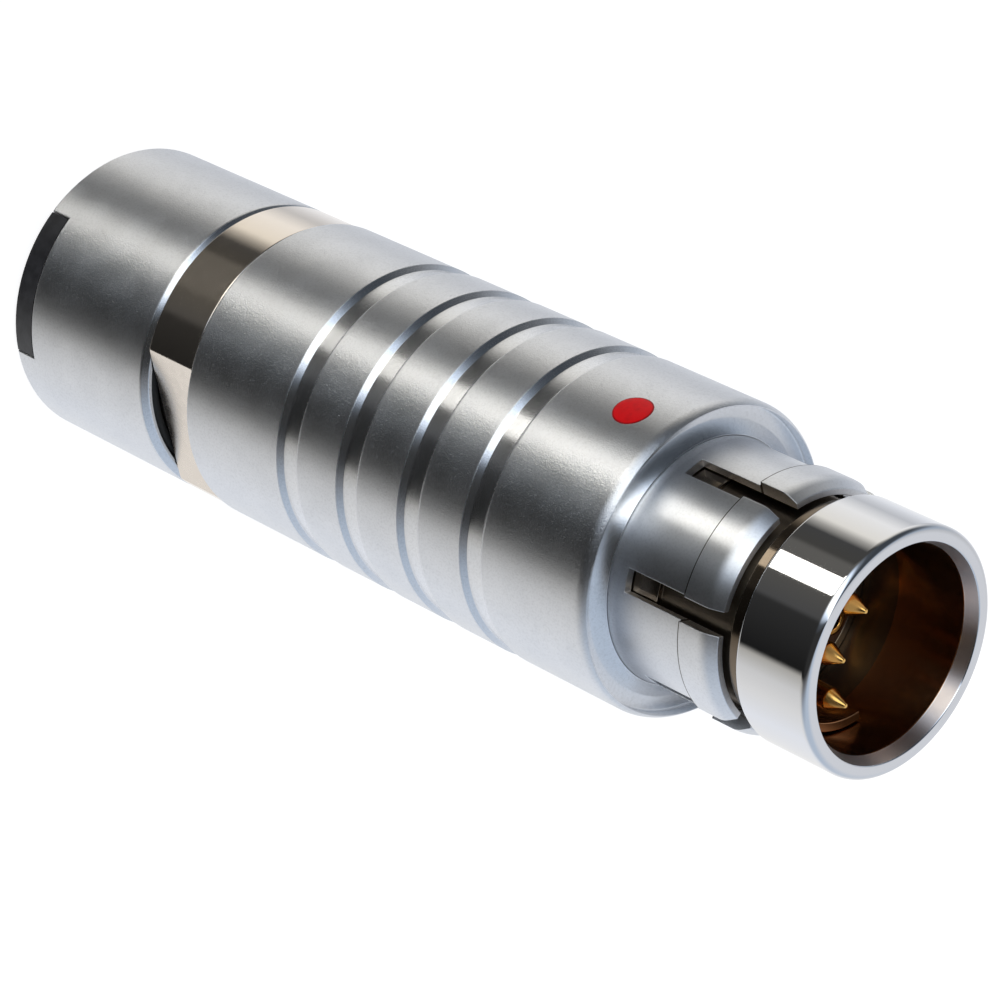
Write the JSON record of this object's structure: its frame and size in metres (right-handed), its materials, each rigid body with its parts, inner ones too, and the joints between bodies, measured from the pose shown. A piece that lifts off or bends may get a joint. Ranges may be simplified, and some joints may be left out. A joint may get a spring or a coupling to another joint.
{
  "type": "push pull circular connector plug",
  "caption": "Round self-latching cable plug with a sliding release sleeve, split latch fingers, red coding dot and keyed contact insert.",
  "frame": {"origin": "centre of the cable-end face of the back nut, on which the plug stands", "axes": "+Z along the connector axis towards the nose; the coding dot faces -Y; the spanner flats face +X and -X"},
  "size_m": [0.019, 0.019, 0.0664],
  "materials": {
    "satin_chrome": "blasted, satin",
    "bright_chrome": "mirror polished",
    "polished_nickel": "polished, slightly warm",
    "red_enamel": "glossy enamel",
    "black_plastic": "moulded, satin",
    "amber_plastic": "moulded high-temperature plastic",
    "gold_contact": "gold plated",
    "turned_brass": "turned",
    "spring_steel": "spring steel",
    "seal_rubber": "moulded rubber"
  },
  "bodies": {
    "plug_body": {"plug_shell": "bright_chrome", "rear_body": "polished_nickel", "back_nut": "satin_chrome", "gland_plate": "black_plastic", "key_ring": "bright_chrome", "insulator_front": "amber_plastic", "insulator_rear": "amber_plastic", "pin_contact_1": "gold_contact", "pin_contact_2": "gold_contact", "pin_contact_3": "gold_contact", "socket_contact_1": "gold_contact", "socket_contact_2": "gold_contact", "socket_contact_3": "gold_contact", "socket_contact_4": "gold_contact", "socket_contact_5": "gold_contact", "socket_contact_6": "gold_contact", "carrier_half_left": "turned_brass", "carrier_half_right": "turned_brass", "earthing_crown": "turned_brass", "sleeve_o_ring": "seal_rubber", "nut_o_ring": "seal_rubber", "collet": "turned_brass", "cable_seal": "seal_rubber", "shield_clamp": "turned_brass"},
    "grip": {"release_sleeve": "satin_chrome", "coding_dot": "red_enamel", "latch_sleeve": "satin_chrome", "latch_holding_ring": "turned_brass", "stop_ring": "spring_steel"}
  },
  "joints": [
    {"name": "sleeve_slide", "type": "slide", "parent": "plug_body", "child": "grip", "axis": [0, 0, 1], "range_m": [0, 0.0011]}
  ]
}
